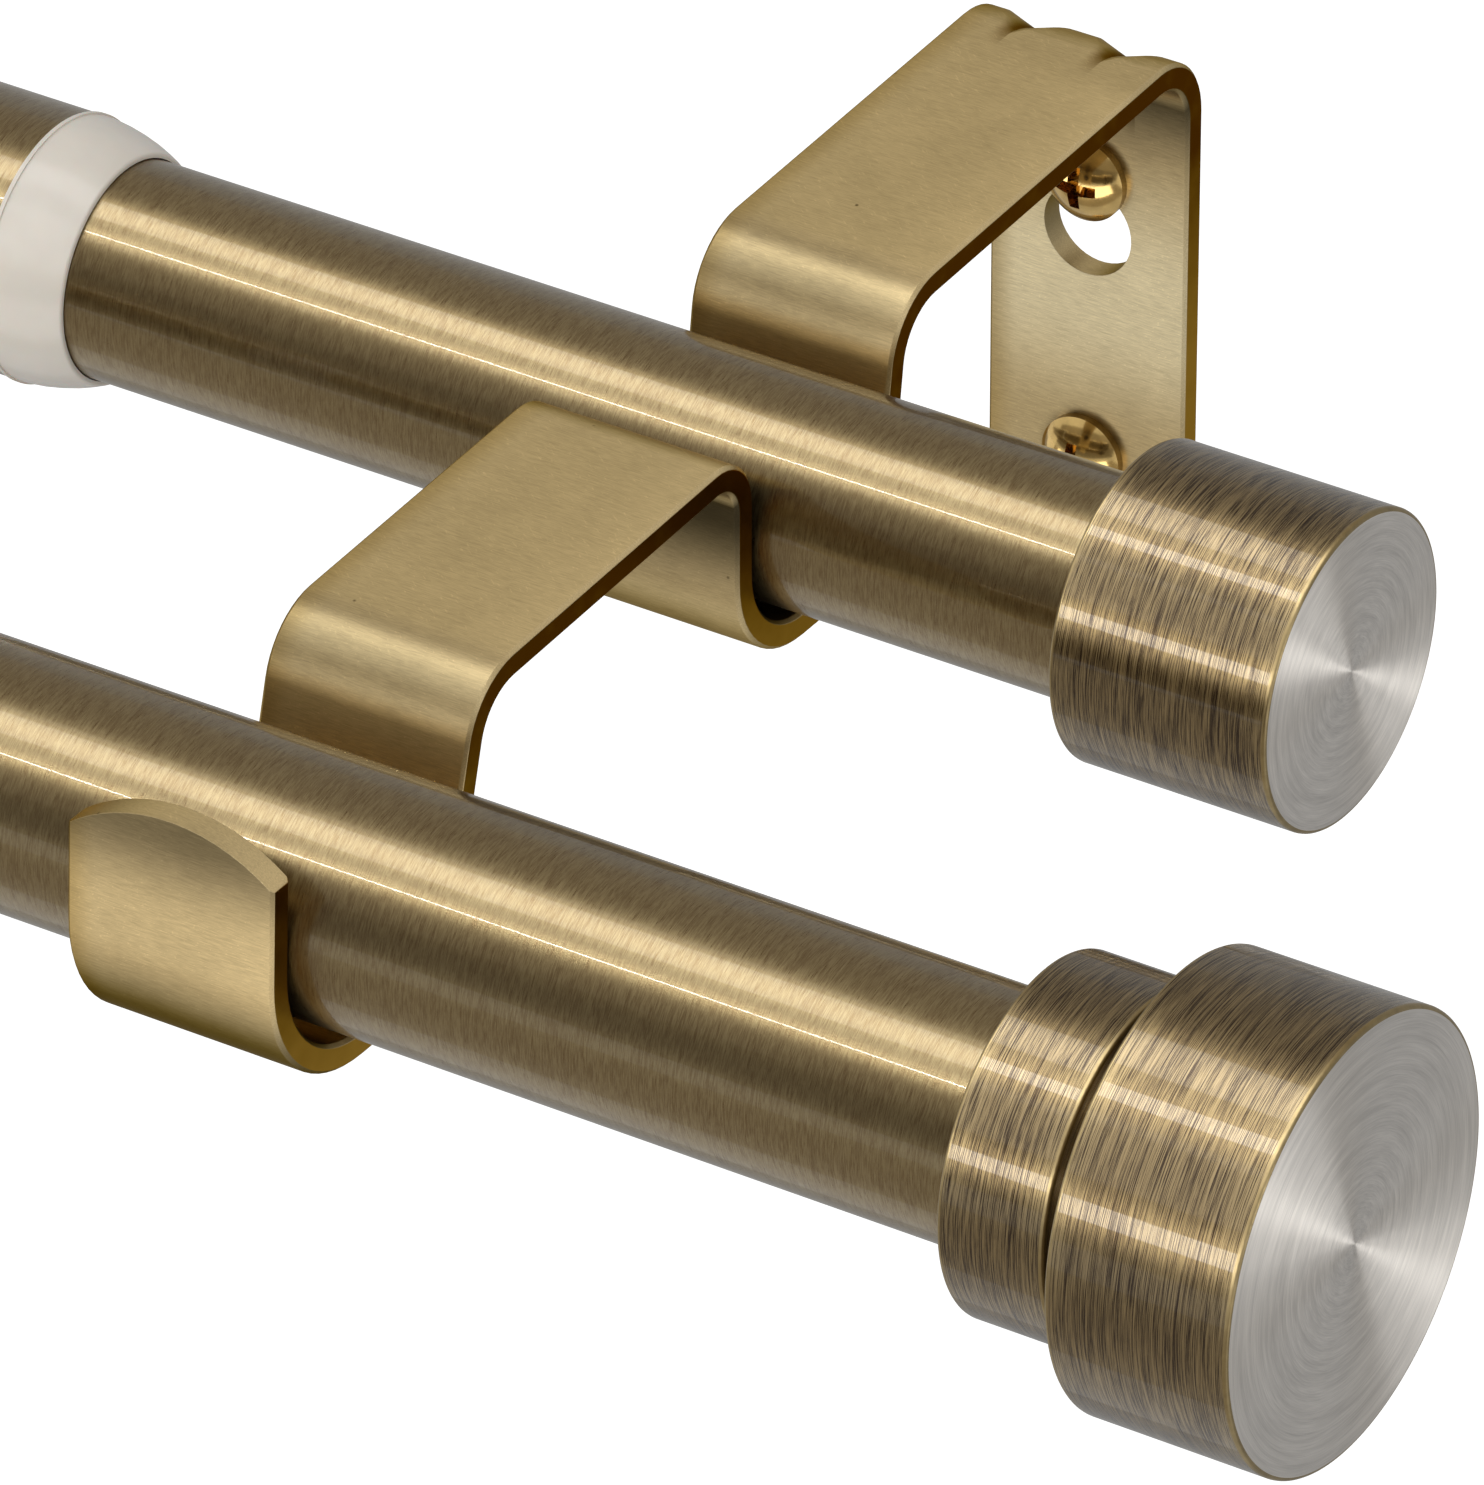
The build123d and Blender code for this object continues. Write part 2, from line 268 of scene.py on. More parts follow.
def turn(centre, outline, steps, rounds=(), closed=True, rim_index=0):
    """A bmesh turned about the line along X through centre, from its half section's corners (x, radius).
    Each of rounds rounds the rim at an x and a radius by a size."""
    bm = bmesh.new()
    corners = [bm.verts.new((x, centre.y, centre.z + r)) for x, r in outline]
    pairs = list(zip(corners, corners[1:])) + ([(corners[-1], corners[0])] if closed else [])
    edges = [bm.edges.new(pair) for pair in pairs]
    bmesh.ops.spin(bm, geom=corners + edges, cent=centre, axis=AROUND, angle=math.tau, steps=steps,
                   use_merge=True)
    bmesh.ops.remove_doubles(bm, verts=bm.verts, dist=1e-7)
    bmesh.ops.recalc_face_normals(bm, faces=bm.faces)
    for x, r, size in rounds:
        ring = [e for e in bm.edges if all(abs(v.co.x - x) < 1e-6 and abs(math.hypot(
            v.co.y - centre.y, v.co.z - centre.z) - r) < 1e-6 for v in e.verts)]
        rim = bmesh.ops.bevel(bm, geom=ring, offset=size, offset_type="OFFSET", segments=4, profile=0.5,
                              affect="EDGES", material=-1, clamp_overlap=True)
        for face in rim["faces"]:
            face.material_index = rim_index
    return bm


def softened(node, size):
    """A merged copy of a CAD node as a bmesh, with its sharp edges rounded."""
    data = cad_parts[node].data.copy()
    if "custom_normal" in data.attributes:
        data.attributes.remove(data.attributes["custom_normal"])
    bm = bmesh.new()
    bm.from_mesh(data)
    bpy.data.meshes.remove(data)
    bmesh.ops.remove_doubles(bm, verts=bm.verts, dist=2e-6)
    bmesh.ops.dissolve_limit(bm, angle_limit=FLAT, verts=bm.verts, edges=bm.edges)
    sharp = [e for e in bm.edges if e.is_manifold and e.calc_face_angle() > PRESSED_EDGE]
    bmesh.ops.bevel(bm, geom=sharp, offset=size, offset_type="OFFSET", segments=2, profile=0.5,
                    affect="EDGES", material=-1, clamp_overlap=True)
    for face in bm.faces:
        face.material_index = 0
    return bm


def drilled(bm, middle, radius, depth):
    """The bmesh with a hole through it along Z, cut with a round cutter that is removed again."""
    piece_mesh, cutter_mesh = bpy.data.meshes.new("Blank"), bpy.data.meshes.new("Cutter")
    bm.to_mesh(piece_mesh)
    bm.free()
    cutter = bmesh.new()
    bmesh.ops.create_cone(cutter, cap_ends=True, segments=32, radius1=radius, radius2=radius, depth=depth,
                          matrix=Matrix.Translation(middle))
    cutter.to_mesh(cutter_mesh)
    cutter.free()
    piece, tool = bpy.data.objects.new("Blank", piece_mesh), bpy.data.objects.new("Cutter", cutter_mesh)
    for made in (piece, tool):
        bpy.context.scene.collection.objects.link(made)
    cut = piece.modifiers.new("Tap", "BOOLEAN")
    cut.object = tool
    cut.operation = "DIFFERENCE"
    cut.solver = "EXACT"
    result = bmesh.new()
    result.from_object(piece, bpy.context.evaluated_depsgraph_get())
    for made, data in ((piece, piece_mesh), (tool, cutter_mesh)):
        bpy.data.objects.remove(made)
        bpy.data.meshes.remove(data)
    return result


def material(name):
    """An empty node material and the tree to fill."""
    made = bpy.data.materials.new(name)
    made.use_nodes = True
    made.node_tree.nodes.clear()
    return made, made.node_tree


def turned_coordinates(tree, centre, width, length):
    """Coordinates that follow turning, with X across the streaks and Y and Z along them, the direction of
    the streaks, and the place along X."""
    place = add(tree, "ShaderNodeTexCoord").outputs["Object"]
    offset = add(tree, "ShaderNodeVectorMath", {0: place, 1: centre}, operation="SUBTRACT").outputs[0]
    spoke = add(tree, "ShaderNodeVectorMath", {0: offset, 1: (0.0, 1.0, 1.0)},
                operation="MULTIPLY").outputs[0]
    reach = add(tree, "ShaderNodeVectorMath", {0: spoke}, operation="LENGTH").outputs["Value"]
    unit = add(tree, "ShaderNodeVectorMath", {0: spoke}, operation="NORMALIZE").outputs[0]
    along = add(tree, "ShaderNodeSeparateXYZ", {0: place}).outputs["X"]
    across = add(tree, "ShaderNodeMath", {0: along, 1: reach}, operation="ADD").outputs[0]
    across = add(tree, "ShaderNodeMath", {0: across, 1: 1 / width}, operation="MULTIPLY").outputs[0]
    lengths = add(tree, "ShaderNodeVectorMath", {0: unit, "Scale": STREAK_RADIUS / length},
                  operation="SCALE").outputs[0]
    lift = add(tree, "ShaderNodeCombineXYZ", {"X": across}).outputs[0]
    pattern = add(tree, "ShaderNodeVectorMath", {0: lengths, 1: lift}, operation="ADD").outputs[0]
    around = add(tree, "ShaderNodeVectorMath", {0: AROUND, 1: unit}, operation="CROSS_PRODUCT").outputs[0]
    normal = add(tree, "ShaderNodeNewGeometry").outputs["Normal"]
    tangent = add(tree, "ShaderNodeVectorMath", {0: normal, 1: around},
                  operation="CROSS_PRODUCT").outputs[0]
    return pattern, tangent, along


def brushed_brass(name, centre, light, dark, width, length, contrast, depth, worn=None, rims=()):
    """Antique-brass plated steel, brushed round: fine bright and dark streaks around the rod under a thin
    clear lacquer, so lamps show as long soft bands with one crisp white line. Towards its rims the antiquing
    is worn off the bare brass."""
    made, tree = material(name)
    pattern, tangent, along = turned_coordinates(tree, centre, width, length)
    fine = add(tree, "ShaderNodeTexNoise", {
        "Vector": pattern, "Scale": 1.0, "Detail": 4.0, "Roughness": 0.7}).outputs[0]
    wide = add(tree, "ShaderNodeVectorMath", {0: pattern, 1: (0.2, 0.35, 0.35)},
               operation="MULTIPLY").outputs[0]
    bands = add(tree, "ShaderNodeTexNoise", {
        "Vector": wide, "Scale": 1.0, "Detail": 3.0, "Roughness": 0.6}).outputs[0]
    streak = add(tree, "ShaderNodeMapRange", {
        "Value": fine, "From Min": 0.5 - contrast, "From Max": 0.5 + contrast}).outputs[0]
    mottle = add(tree, "ShaderNodeMapRange", {
        "Value": bands, "From Min": 0.3, "From Max": 0.7, "To Min": -0.2, "To Max": 0.2}).outputs[0]
    amount = add(tree, "ShaderNodeMath", {0: streak, 1: mottle}, operation="ADD", use_clamp=True).outputs[0]
    colour = add(tree, "ShaderNodeMix", {"Factor": amount, "A": rgba(dark), "B": rgba(light)},
                 data_type="RGBA").outputs["Result"]
    if rims:
        gaps = []
        for x in rims:
            gap = add(tree, "ShaderNodeMath", {0: along, 1: x}, operation="SUBTRACT").outputs[0]
            gaps.append(add(tree, "ShaderNodeMath", {0: gap}, operation="ABSOLUTE").outputs[0])
        nearest = gaps[0]
        for gap in gaps[1:]:
            nearest = add(tree, "ShaderNodeMath", {0: nearest, 1: gap}, operation="MINIMUM").outputs[0]
        near = add(tree, "ShaderNodeMapRange", {
            "Value": nearest, "From Min": 3.0 * MM, "From Max": 0.2 * MM, "To Max": 0.55}).outputs[0]
        wear_and_highlight = add(tree, "ShaderNodeMath", {0: near, 1: amount}, operation="MULTIPLY").outputs[0]
        colour = add(tree, "ShaderNodeMix", {"Factor": wear_and_highlight, "A": colour, "B": rgba(worn)},
                     data_type="RGBA").outputs["Result"]
    rough = add(tree, "ShaderNodeMapRange", {
        "Value": fine, "From Min": 0.3, "From Max": 0.7, "To Min": 0.26, "To Max": 0.38}).outputs[0]
    bump = add(tree, "ShaderNodeBump", {"Strength": 0.6, "Distance": depth, "Height": fine}).outputs[0]
    gloss = add(tree, "ShaderNodeMapRange", {
        "Value": fine, "From Min": 0.35, "From Max": 0.65, "To Min": 0.25, "To Max": 0.85}).outputs[0]
    shader = add(tree, "ShaderNodeBsdfPrincipled", {
        "Base Color": colour, "Metallic": 1.0, "Roughness": rough, "Anisotropic": 0.6, "Tangent": tangent,
        "Normal": bump, "Coat Weight": gloss, "Coat Roughness": 0.035, "Coat IOR": 1.5})
    add(tree, "ShaderNodeOutputMaterial", {"Surface": shader.outputs[0]})
    return made


def faced_metal(name, centre, colour, width, length):
    """Plated metal faced on a lathe: silver-grey with fine rings, so lamps open into bright sectors."""
    made, tree = material(name)
    pattern, tangent, _ = turned_coordinates(tree, centre, width, length)
    fine = add(tree, "ShaderNodeTexNoise", {
        "Vector": pattern, "Scale": 1.0, "Detail": 4.0, "Roughness": 0.65}).outputs[0]
    shade = add(tree, "ShaderNodeMapRange", {
        "Value": fine, "From Min": 0.3, "From Max": 0.7, "To Min": 0.84, "To Max": 1.05}).outputs[0]
    wide = add(tree, "ShaderNodeVectorMath", {0: pattern, 1: (0.16, 0.5, 0.5)},
               operation="MULTIPLY").outputs[0]
    rings = add(tree, "ShaderNodeTexNoise", {
        "Vector": wide, "Scale": 1.0, "Detail": 3.0, "Roughness": 0.6}).outputs[0]
    rings = add(tree, "ShaderNodeMapRange", {
        "Value": rings, "From Min": 0.3, "From Max": 0.7, "To Min": 0.87, "To Max": 1.1}).outputs[0]
    shade = add(tree, "ShaderNodeMath", {0: shade, 1: rings}, operation="MULTIPLY").outputs[0]
    tint = add(tree, "ShaderNodeVectorMath", {0: tuple(colour), "Scale": shade}, operation="SCALE").outputs[0]
    bump = add(tree, "ShaderNodeBump", {
        "Strength": 0.4, "Distance": 0.015 * MM, "Height": fine}).outputs[0]
    shader = add(tree, "ShaderNodeBsdfPrincipled", {
        "Base Color": tint, "Metallic": 1.0, "Roughness": 0.36, "Anisotropic": 0.95, "Tangent": tangent,
        "Normal": bump})
    add(tree, "ShaderNodeOutputMaterial", {"Surface": shader.outputs[0]})
    return made


def plating_grain(tree, place):
    """The plating's fine cross grain and its pits, for the bump, and what these, its cloudiness and its hair
    scratches leave of the colour."""
    fine = add(tree, "ShaderNodeVectorMath", {
        0: place, 1: (1 / GRAIN[0], 1 / GRAIN[1], 1 / GRAIN[1])}, operation="MULTIPLY").outputs[0]
    grain = add(tree, "ShaderNodeTexNoise", {
        "Vector": fine, "Scale": 1.0, "Detail": 3.0, "Roughness": 0.65}).outputs[0]
    grain_shade = add(tree, "ShaderNodeMapRange", {
        "Value": grain, "From Min": 0.3, "From Max": 0.7, "To Min": 0.8, "To Max": 1.12}).outputs[0]
    cloud = add(tree, "ShaderNodeTexNoise", {
        "Vector": place, "Scale": 1 / CLOUD_SIZE, "Detail": 4.0}).outputs[0]
    cloud_shade = add(tree, "ShaderNodeMapRange", {
        "Value": cloud, "From Min": 0.3, "From Max": 0.7, "To Min": 0.95, "To Max": 1.05}).outputs[0]
    turned = add(tree, "ShaderNodeVectorRotate", {
        "Vector": place, "Axis": (0.3, 0.2, 1.0), "Angle": 0.7}).outputs[0]
    drawn = add(tree, "ShaderNodeVectorMath", {
        0: turned, 1: (1 / SCRATCH[0], 1 / SCRATCH[1], 1 / SCRATCH[1])}, operation="MULTIPLY").outputs[0]
    lines = add(tree, "ShaderNodeTexNoise", {"Vector": drawn, "Scale": 1.0, "Detail": 1.0}).outputs[0]
    scratch_shade = add(tree, "ShaderNodeMapRange", {
        "Value": lines, "From Min": 0.66, "From Max": 0.74, "To Min": 1.0, "To Max": 1.16}).outputs[0]
    cells = add(tree, "ShaderNodeTexVoronoi", {"Vector": place, "Scale": 1 / PIT_SPACING}).outputs["Distance"]
    pits = add(tree, "ShaderNodeMapRange", {
        "Value": cells, "From Min": 0.012, "From Max": 0.03}).outputs[0]
    pit_shade = add(tree, "ShaderNodeMapRange", {"Value": pits, "To Min": 0.35}).outputs[0]
    return grain, pits, [grain_shade, cloud_shade, scratch_shade, pit_shade]


def plating_colour(tree, colours, place, parts, normal, offset, crest):
    """The plating's colour with painted light and shade: browner at the left edge from painted shade, paler
    on the middle of the wall plate from a painted highlight, and dark on the left of each crease near the
    crest of the wall bend from painted shade."""
    # A painted highlight: a pale glow on the wall-facing middle of the wall plate, fading above and below
    plate = add(tree, "ShaderNodeMapRange", {
        "Value": parts.outputs["Y"], "From Min": -7 * MM, "From Max": -4 * MM, "To Max": 0.9},
        interpolation_type="SMOOTHSTEP").outputs[0]
    height = add(tree, "ShaderNodeMath", {0: parts.outputs["Z"], 1: PLATE_GLOW_HEIGHT},
                 operation="SUBTRACT").outputs[0]
    height = add(tree, "ShaderNodeMath", {0: height}, operation="ABSOLUTE").outputs[0]
    level = add(tree, "ShaderNodeMapRange", {"Value": height, "From Min": 18 * MM, "From Max": 2 * MM},
                interpolation_type="SMOOTHSTEP").outputs[0]
    facing_wall = add(tree, "ShaderNodeMath", {0: normal.outputs["Y"]}, operation="ABSOLUTE").outputs[0]
    for factor in (level, facing_wall):
        plate = add(tree, "ShaderNodeMath", {0: plate, 1: factor}, operation="MULTIPLY").outputs[0]
    # Painted shade: browner towards the left edge of every strip
    rim = add(tree, "ShaderNodeMapRange", {
        "Value": offset, "From Min": -8.0 * MM, "From Max": -11.7 * MM, "To Max": 0.6},
        interpolation_type="SMOOTHSTEP").outputs[0]
    # Painted shade: dark brown on the left side of each crease, fading away from the crest of the wall bend
    beside = add(tree, "ShaderNodeMath", {0: offset, 1: CREASE_OFFSET, 2: -CREASE_OFFSET},
                 operation="WRAP").outputs[0]
    groove = add(tree, "ShaderNodeMapRange", {
        "Value": beside, "From Min": 3.2 * MM, "From Max": 5.2 * MM},
        interpolation_type="SMOOTHSTEP").outputs[0]
    from_crest = add(tree, "ShaderNodeVectorMath", {0: place, 1: (0.0, *crest)},
                     operation="SUBTRACT").outputs[0]
    from_crest = add(tree, "ShaderNodeVectorMath", {0: from_crest, 1: (0.0, 1.0, 1.0)},
                     operation="MULTIPLY").outputs[0]
    from_crest = add(tree, "ShaderNodeVectorMath", {0: from_crest}, operation="LENGTH").outputs["Value"]
    groove_end = add(tree, "ShaderNodeMapRange", {
        "Value": from_crest, "From Min": 13.0 * MM, "From Max": 8.0 * MM, "To Max": 0.95},
        interpolation_type="SMOOTHSTEP").outputs[0]
    groove = add(tree, "ShaderNodeMath", {0: groove, 1: groove_end}, operation="MULTIPLY").outputs[0]
    mixed = rgba(colours.plating)
    for amount, colour in ((plate, colours.plating_glow), (rim, colours.plating_shaded_edge),
                           (groove, colours.cut_shaded)):
        mixed = add(tree, "ShaderNodeMix", {"Factor": amount, "A": mixed, "B": rgba(colour)},
                    data_type="RGBA").outputs["Result"]
    return mixed


def plating_shade(tree, parts, normal, offset, tab_y, tab_top):
    """What painted light and shade leave of the plating's colour: a painted highlight towards the right edge,
    painted shade in the corners, a painted shadow under the arms, painted shade on the tab's upper edge and
    in the floor of the front hook, and painted highlights on the risers just behind the rods."""
    lip = add(tree, "ShaderNodeMath", {0: parts.outputs["Y"], 1: REAR_LIP}, operation="SUBTRACT").outputs[0]
    lip = add(tree, "ShaderNodeMath", {0: lip}, operation="ABSOLUTE").outputs[0]
    lip = add(tree, "ShaderNodeMapRange", {"Value": lip, "From Min": 14 * MM, "From Max": 10 * MM}).outputs[0]
    at_wall = add(tree, "ShaderNodeMapRange", {
        "Value": parts.outputs["Y"], "From Min": -16 * MM, "From Max": -12 * MM}).outputs[0]
    behind = add(tree, "ShaderNodeMath", {0: lip, 1: at_wall}, operation="MAXIMUM").outputs[0]
    upward = add(tree, "ShaderNodeMath", {0: normal.outputs["Z"]}, operation="ABSOLUTE").outputs[0]
    upright = add(tree, "ShaderNodeMapRange", {
        "Value": upward, "From Min": 0.55, "From Max": 0.15}).outputs[0]

    # Painted shade: darker in corners and recesses near the wall and the rear lip, from ambient occlusion
    open_air = add(tree, "ShaderNodeAmbientOcclusion", {"Distance": 8 * MM}, samples=8).outputs["AO"]
    painted_recess_shade = add(tree, "ShaderNodeMapRange", {
        "Value": open_air, "From Min": 0.3, "From Max": 0.95, "To Min": 0.4}).outputs[0]
    painted_recess_shade = add(tree, "ShaderNodeMix", {"Factor": behind, "A": 1.0, "B": painted_recess_shade}).outputs["Result"]

    ceiling = add(tree, "ShaderNodeMapRange", {
        "Value": parts.outputs["Y"],
        "From Min": FRONT_ARM_UNDERSIDE[0], "From Max": REAR_ARM_UNDERSIDE[0],
        "To Min": FRONT_ARM_UNDERSIDE[1], "To Max": REAR_ARM_UNDERSIDE[1]}).outputs[0]
    below = add(tree, "ShaderNodeMath", {0: ceiling, 1: parts.outputs["Z"]}, operation="SUBTRACT").outputs[0]
    shadow = add(tree, "ShaderNodeMapRange", {
        "Value": below, "From Min": 0.0, "From Max": 13 * MM, "To Min": 0.9, "To Max": 0.0},
        interpolation_type="SMOOTHSTEP").outputs[0]
    for factor in (behind, upright):
        shadow = add(tree, "ShaderNodeMath", {0: shadow, 1: factor}, operation="MULTIPLY").outputs[0]
    lit = add(tree, "ShaderNodeMath", {0: 1.0, 1: shadow}, operation="SUBTRACT").outputs[0]

    # A painted highlight: lighter towards the right edge, and a little darker at the wall
    wear_and_highlight = add(tree, "ShaderNodeMapRange", {
        "Value": offset, "From Min": 4.0 * MM, "From Max": 11.0 * MM,
        "To Min": 1.0, "To Max": 1.15}).outputs[0]
    wear_and_highlight = add(tree, "ShaderNodeMix", {"Factor": at_wall, "A": wear_and_highlight, "B": 0.95}).outputs["Result"]

    # Painted shade and light on the tab: dark under its upper edge, brighter lower down
    front = add(tree, "ShaderNodeMapRange", {
        "Value": parts.outputs["Y"], "From Min": tab_y + 12 * MM, "From Max": tab_y + 9 * MM}).outputs[0]
    tab = add(tree, "ShaderNodeMath", {0: front, 1: upright}, operation="MULTIPLY").outputs[0]
    tab_light_and_shade = add(tree, "ShaderNodeMapRange", {
        "Value": parts.outputs["Z"], "From Min": tab_top - 1 * MM, "From Max": tab_top - 11 * MM,
        "To Min": 0.42, "To Max": 1.35}, interpolation_type="SMOOTHSTEP").outputs[0]
    tab_light_and_shade = add(tree, "ShaderNodeMix", {"Factor": tab, "A": 1.0, "B": tab_light_and_shade}).outputs["Result"]
    # Painted shade: darker towards the floor of the front hook
    hook_floor_shade = add(tree, "ShaderNodeMapRange", {
        "Value": parts.outputs["Z"], "From Min": HOOK_FLOOR, "From Max": HOOK_SIDE,
        "To Min": 0.38, "To Max": 1.0}, interpolation_type="SMOOTHSTEP").outputs[0]
    hook_floor_shade = add(tree, "ShaderNodeMix", {"Factor": front, "A": 1.0, "B": hook_floor_shade}).outputs["Result"]

    factors = [painted_recess_shade, lit, wear_and_highlight, tab_light_and_shade, hook_floor_shade]
    # Painted highlights: the risers just behind the rods made brighter low down
    for riser_y, riser_top, gain in RISER_HIGHLIGHTS:
        away = add(tree, "ShaderNodeMath", {0: parts.outputs["Y"], 1: riser_y},
                   operation="SUBTRACT").outputs[0]
        away = add(tree, "ShaderNodeMath", {0: away}, operation="ABSOLUTE").outputs[0]
        by_rod = add(tree, "ShaderNodeMapRange", {
            "Value": away, "From Min": 9 * MM, "From Max": 7 * MM}).outputs[0]
        low = add(tree, "ShaderNodeMapRange", {
            "Value": parts.outputs["Z"], "From Min": riser_top, "From Max": riser_top - 8 * MM,
            "To Max": gain}).outputs[0]
        factors.append(add(tree, "ShaderNodeMath", {0: by_rod, 1: low, 2: 1.0},
                           operation="MULTIPLY_ADD").outputs[0])
    return factors


def satin_plating(name, colours, middle, crest, tab_y, tab_top):
    """Satin brass plating on pressed steel: an even olive gold with a fine cross grain, hair scratches and a
    few pits, with painted shade in the bends, creases, corners and hooks and painted highlights on the wall
    plate, the right edges and the risers."""
    made, tree = material(name)
    place = add(tree, "ShaderNodeTexCoord").outputs["Object"]
    parts = add(tree, "ShaderNodeSeparateXYZ", {0: place})
    offset = add(tree, "ShaderNodeMath", {0: parts.outputs["X"], 1: middle}, operation="SUBTRACT").outputs[0]
    facing_way = add(tree, "ShaderNodeNewGeometry").outputs["Normal"]
    normal = add(tree, "ShaderNodeSeparateXYZ", {0: facing_way})
    grain, pits, factors = plating_grain(tree, place)
    tint = plating_colour(tree, colours, place, parts, normal, offset, crest)
    factors += plating_shade(tree, parts, normal, offset, tab_y, tab_top)
    shade = factors[0]
    for factor in factors[1:]:
        shade = add(tree, "ShaderNodeMath", {0: shade, 1: factor}, operation="MULTIPLY").outputs[0]
    tint = add(tree, "ShaderNodeVectorMath", {0: tint, "Scale": shade}, operation="SCALE").outputs[0]
    bump = add(tree, "ShaderNodeBump", {
        "Strength": 0.5, "Distance": 0.012 * MM, "Height": grain}).outputs[0]
    bump = add(tree, "ShaderNodeBump", {
        "Strength": 0.6, "Distance": 0.05 * MM, "Height": pits, "Normal": bump}).outputs[0]
    shader = add(tree, "ShaderNodeBsdfPrincipled", {
        "Base Color": tint, "Metallic": 1.0, "Roughness": 0.36, "Specular Tint": rgba(colours.plating),
        "Normal": bump})
    add(tree, "ShaderNodeOutputMaterial", {"Surface": shader.outputs[0]})
    return made


def cut_edge(name, dark, light):
    """The sheared sides of the strip under antiquing lacquer: painted shade makes them dark brown above and a
    painted highlight makes them gold low in the hooks."""
    made, tree = material(name)
    place = add(tree, "ShaderNodeTexCoord").outputs["Object"]
    height = add(tree, "ShaderNodeSeparateXYZ", {0: place}).outputs["Z"]
    cloud = add(tree, "ShaderNodeTexNoise", {
        "Vector": place, "Scale": 1 / (3 * MM), "Detail": 4.0}).outputs[0]
    # Painted shade above, fading to a painted highlight low down, by height
    level = add(tree, "ShaderNodeMapRange", {
        "Value": height, "From Min": 24 * MM, "From Max": -2 * MM}).outputs[0]
    mixed = add(tree, "ShaderNodeMath", {0: cloud, 1: 0.4, 2: level}, operation="MULTIPLY_ADD").outputs[0]
    amount = add(tree, "ShaderNodeMath", {0: mixed, 1: 0.2}, operation="SUBTRACT", use_clamp=True).outputs[0]
    colour = add(tree, "ShaderNodeMix", {"Factor": amount, "A": rgba(dark), "B": rgba(light)},
                 data_type="RGBA").outputs["Result"]
    bump = add(tree, "ShaderNodeBump", {"Strength": 0.3, "Distance": 0.03 * MM, "Height": cloud}).outputs[0]
    shader = add(tree, "ShaderNodeBsdfPrincipled", {
        "Base Color": colour, "Metallic": 1.0, "Roughness": 0.32, "Specular Tint": rgba(light),
        "Normal": bump})
    add(tree, "ShaderNodeOutputMaterial", {"Surface": shader.outputs[0]})
    return made


def plain_metal(name, colour, roughness):
    """A small plated steel or brass fastener with a faint turned unevenness."""
    made, tree = material(name)
    place = add(tree, "ShaderNodeTexCoord").outputs["Object"]
    cloud = add(tree, "ShaderNodeTexNoise", {
        "Vector": place, "Scale": 1 / (1.5 * MM), "Detail": 3.0}).outputs[0]
    shade = add(tree, "ShaderNodeMapRange", {
        "Value": cloud, "From Min": 0.3, "From Max": 0.7, "To Min": 0.8, "To Max": 1.05}).outputs[0]
    tint = add(tree, "ShaderNodeVectorMath", {0: tuple(colour), "Scale": shade}, operation="SCALE").outputs[0]
    bump = add(tree, "ShaderNodeBump", {"Strength": 0.2, "Distance": 0.03 * MM, "Height": cloud}).outputs[0]
    shader = add(tree, "ShaderNodeBsdfPrincipled", {
        "Base Color": tint, "Metallic": 1.0, "Roughness": roughness, "Normal": bump})
    add(tree, "ShaderNodeOutputMaterial", {"Surface": shader.outputs[0]})
    return made


def moulded_nylon(name, colour):
    """Moulded ivory nylon: glossy, slightly waxy, with light scattered a little below the skin."""
    made, tree = material(name)
    place = add(tree, "ShaderNodeTexCoord").outputs["Object"]
    cloud = add(tree, "ShaderNodeTexNoise", {
        "Vector": place, "Scale": 1 / (4 * MM), "Detail": 2.0}).outputs[0]
    shade = add(tree, "ShaderNodeMapRange", {
        "Value": cloud, "From Min": 0.3, "From Max": 0.7, "To Min": 0.96, "To Max": 1.0}).outputs[0]
    tint = add(tree, "ShaderNodeVectorMath", {0: tuple(colour), "Scale": shade}, operation="SCALE").outputs[0]
    bump = add(tree, "ShaderNodeBump", {"Strength": 0.1, "Distance": 0.02 * MM, "Height": cloud}).outputs[0]
    shader = add(tree, "ShaderNodeBsdfPrincipled", {
        "Base Color": tint, "Roughness": 0.22, "IOR": 1.53, "Normal": bump,
        "Subsurface Weight": 0.15, "Subsurface Scale": 1.0 * MM})
    add(tree, "ShaderNodeOutputMaterial", {"Surface": shader.outputs[0]})
    return made


class POLE_OT_tubes(bpy.types.Operator):
    """The drawn tubes of both rods, brushed round"""

    bl_idname = "pole.tubes"
    bl_label = "Tubes"

    def execute(self, context):
        sizes, colours = context.scene.pole_sizes, context.scene.pole_colours
        for name in RODS:
            for part, body in (("outer", "wall_fixed"), ("inner", f"{name}_extension")):
                node = f"{name}_{part}_tube"
                centre, radius, start, end = rod(node)
                bore = radius - TUBE_WALL
                outline = [(start, radius), (end, radius), (end, bore), (start, bore)]
                rounds = [(start, radius, sizes.tube_round), (end, radius, sizes.tube_round)]
                brass = brushed_brass(f"Brushed antique brass {name} {part}", centre, colours.brass,
                                      colours.brass_dark, sizes.streak_width, sizes.streak_length,
                                      contrast=0.1, depth=0.025 * MM)
                bm = turn(centre, outline, sizes.turning_steps, rounds)
                finish_mesh(f"{name}_{part}_drawn_tube", bm, [brass], body, node)
        return {"FINISHED"}


